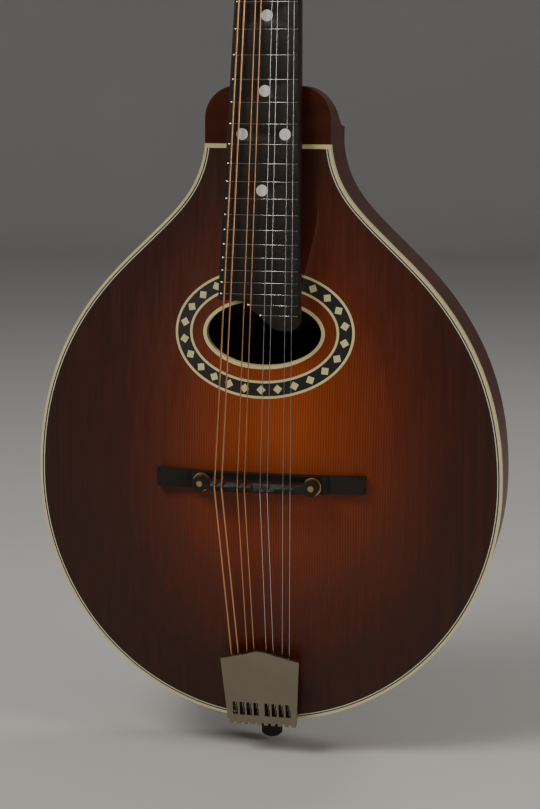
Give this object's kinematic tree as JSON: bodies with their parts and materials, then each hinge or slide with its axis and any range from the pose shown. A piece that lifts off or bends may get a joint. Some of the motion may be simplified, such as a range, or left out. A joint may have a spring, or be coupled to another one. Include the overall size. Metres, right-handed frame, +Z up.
{
  "type": "mandolin",
  "caption": "Oval-hole, A-shaped mandolin with carved arched top and back, adjustable bridge, cast tailpiece and open-geared tuners on a tilted headstock.",
  "frame": {"origin": "middle of the neck at the nut, where a hanger's fork takes the neck", "axes": "+Z up the neck towards the headstock, -Y out of the front, +X to the side of the thin strings"},
  "size_m": [0.2532, 0.1136, 0.6475],
  "materials": {
    "spruce_top": "satin lacquer over a dark sunburst",
    "maple_body": "satin lacquer, dark red-brown stain",
    "inside_wood": "bare planed wood",
    "ivoroid": "satin, slightly grained",
    "white_fibre": "flush",
    "black_fibre": "flush satin",
    "ebony": "oiled, fine pores",
    "fret_nickel": "polished",
    "pearl": "polished shell",
    "bone": "polished",
    "steel": "plain",
    "brass": "lightly tarnished",
    "black_plastic": "satin",
    "nickel_plate": "bright nickel",
    "satin_nickel": "satin cast nickel",
    "bronze_wound": "wound phosphor bronze",
    "plain_steel": "bright drawn wire"
  },
  "bodies": {
    "instrument": {"back_lining": "inside_wood", "back_plate": "maple_body", "bridge_base": "ebony", "bridge_posts": "brass", "end_pin": "ebony", "fret_markers": "pearl", "fretboard": "ebony", "frets": "fret_nickel", "head_block": "inside_wood", "headstock_screws": "nickel_plate", "headstock_veneer": "ebony", "heel_cap": "ebony", "neck": "maple_body", "nut": "bone", "post_bushings": "nickel_plate", "purfling_black": "black_fibre", "purfling_white": "white_fibre", "rim": "maple_body", "rosette_band": "black_fibre", "rosette_diamonds": "ivoroid", "rosette_rings": "ivoroid", "soundhole_binding": "ivoroid", "strings_a": "plain_steel", "strings_d": "bronze_wound", "strings_e": "plain_steel", "strings_g": "bronze_wound", "tail_block": "inside_wood", "tailpiece": "satin_nickel", "tailpiece_screws": "nickel_plate", "top_binding": "ivoroid", "top_brace": "inside_wood", "top_lining": "inside_wood", "top_plate": "spruce_top", "truss_rod": "steel", "truss_rod_cover": "black_plastic", "tuner_plate_bass": "nickel_plate", "tuner_plate_treble": "nickel_plate"},
    "tuner_key_1": {"tuner_key_1": "nickel_plate"},
    "tuner_key_2": {"tuner_key_2": "nickel_plate"},
    "tuner_key_3": {"tuner_key_3": "nickel_plate"},
    "tuner_key_4": {"tuner_key_4": "nickel_plate"},
    "tuner_key_5": {"tuner_key_5": "nickel_plate"},
    "tuner_key_6": {"tuner_key_6": "nickel_plate"},
    "tuner_key_7": {"tuner_key_7": "nickel_plate"},
    "tuner_key_8": {"tuner_key_8": "nickel_plate"},
    "string_post_1": {"string_post_1": "nickel_plate"},
    "string_post_2": {"string_post_2": "nickel_plate"},
    "string_post_3": {"string_post_3": "nickel_plate"},
    "string_post_4": {"string_post_4": "nickel_plate"},
    "string_post_5": {"string_post_5": "nickel_plate"},
    "string_post_6": {"string_post_6": "nickel_plate"},
    "string_post_7": {"string_post_7": "nickel_plate"},
    "string_post_8": {"string_post_8": "nickel_plate"},
    "bridge_saddle": {"bridge_saddle": "ebony"},
    "thumbwheel_bass": {"thumbwheel_bass": "brass"},
    "thumbwheel_treble": {"thumbwheel_treble": "brass"},
    "truss_rod_nut": {"truss_rod_nut": "brass"}
  },
  "joints": [
    {"name": "key_1_turn", "type": "hinge", "parent": "instrument", "child": "tuner_key_1", "pos_m": [-0.019, 0.02651, 0.03759], "axis": [1, 0, 0], "continuous": true},
    {"name": "post_1_turn", "type": "hinge", "parent": "instrument", "child": "string_post_1", "pos_m": [-0.019, 0.00661, 0.03791], "axis": [0, -0.9417, 0.3364], "continuous": true},
    {"name": "key_2_turn", "type": "hinge", "parent": "instrument", "child": "tuner_key_2", "pos_m": [-0.019, 0.03425, 0.05925], "axis": [1, 0, 0], "continuous": true},
    {"name": "post_2_turn", "type": "hinge", "parent": "instrument", "child": "string_post_2", "pos_m": [-0.019, 0.01434, 0.05957], "axis": [0, -0.9417, 0.3364], "continuous": true},
    {"name": "key_3_turn", "type": "hinge", "parent": "instrument", "child": "tuner_key_3", "pos_m": [-0.019, 0.04199, 0.08091], "axis": [1, 0, 0], "continuous": true},
    {"name": "post_3_turn", "type": "hinge", "parent": "instrument", "child": "string_post_3", "pos_m": [-0.019, 0.02208, 0.08123], "axis": [0, -0.9417, 0.3364], "continuous": true},
    {"name": "key_4_turn", "type": "hinge", "parent": "instrument", "child": "tuner_key_4", "pos_m": [-0.019, 0.04973, 0.10257], "axis": [1, 0, 0], "continuous": true},
    {"name": "post_4_turn", "type": "hinge", "parent": "instrument", "child": "string_post_4", "pos_m": [-0.019, 0.02982, 0.10288], "axis": [0, -0.9417, 0.3364], "continuous": true},
    {"name": "key_5_turn", "type": "hinge", "parent": "instrument", "child": "tuner_key_5", "pos_m": [0.019, 0.04973, 0.10257], "axis": [1, 0, 0], "continuous": true},
    {"name": "post_5_turn", "type": "hinge", "parent": "instrument", "child": "string_post_5", "pos_m": [0.019, 0.02982, 0.10288], "axis": [0, -0.9417, 0.3364], "continuous": true},
    {"name": "key_6_turn", "type": "hinge", "parent": "instrument", "child": "tuner_key_6", "pos_m": [0.019, 0.04199, 0.08091], "axis": [1, 0, 0], "continuous": true},
    {"name": "post_6_turn", "type": "hinge", "parent": "instrument", "child": "string_post_6", "pos_m": [0.019, 0.02208, 0.08123], "axis": [0, -0.9417, 0.3364], "continuous": true},
    {"name": "key_7_turn", "type": "hinge", "parent": "instrument", "child": "tuner_key_7", "pos_m": [0.019, 0.03425, 0.05925], "axis": [1, 0, 0], "continuous": true},
    {"name": "post_7_turn", "type": "hinge", "parent": "instrument", "child": "string_post_7", "pos_m": [0.019, 0.01434, 0.05957], "axis": [0, -0.9417, 0.3364], "continuous": true},
    {"name": "key_8_turn", "type": "hinge", "parent": "instrument", "child": "tuner_key_8", "pos_m": [0.019, 0.02651, 0.03759], "axis": [1, 0, 0], "continuous": true},
    {"name": "post_8_turn", "type": "hinge", "parent": "instrument", "child": "string_post_8", "pos_m": [0.019, 0.00661, 0.03791], "axis": [0, -0.9417, 0.3364], "continuous": true},
    {"name": "bridge_height", "type": "slide", "parent": "instrument", "child": "bridge_saddle", "axis": [0, -1, 0], "range_m": [-0.0016, 0.0024], "deforming": ["strings_g", "strings_d", "strings_a", "strings_e"]},
    {"name": "thumbwheel_bass_turn", "type": "hinge", "parent": "bridge_saddle", "child": "thumbwheel_bass", "pos_m": [-0.0297, -0.04174, -0.35152], "axis": [0, -1, 0], "range_deg": [-721, 1081]},
    {"name": "thumbwheel_treble_turn", "type": "hinge", "parent": "bridge_saddle", "child": "thumbwheel_treble", "pos_m": [0.0297, -0.04174, -0.35152], "axis": [0, -1, 0], "range_deg": [-721, 1081]},
    {"name": "truss_nut_turn", "type": "hinge", "parent": "instrument", "child": "truss_rod_nut", "pos_m": [0, 0.00159, 0.00871], "axis": [0, 0.116, 0.9933], "range_deg": [-90, 90]}
  ],
  "couplings": [
    {"joint": "post_1_turn", "follows": "key_1_turn", "ratio": 0.071429},
    {"joint": "post_2_turn", "follows": "key_2_turn", "ratio": 0.071429},
    {"joint": "post_3_turn", "follows": "key_3_turn", "ratio": 0.071429},
    {"joint": "post_4_turn", "follows": "key_4_turn", "ratio": 0.071429},
    {"joint": "post_5_turn", "follows": "key_5_turn", "ratio": 0.071429},
    {"joint": "post_6_turn", "follows": "key_6_turn", "ratio": 0.071429},
    {"joint": "post_7_turn", "follows": "key_7_turn", "ratio": 0.071429},
    {"joint": "post_8_turn", "follows": "key_8_turn", "ratio": 0.071429},
    {"joint": "thumbwheel_bass_turn", "follows": "bridge_height", "rad_per_m": 7854},
    {"joint": "thumbwheel_treble_turn", "follows": "bridge_height", "rad_per_m": 7854}
  ]
}
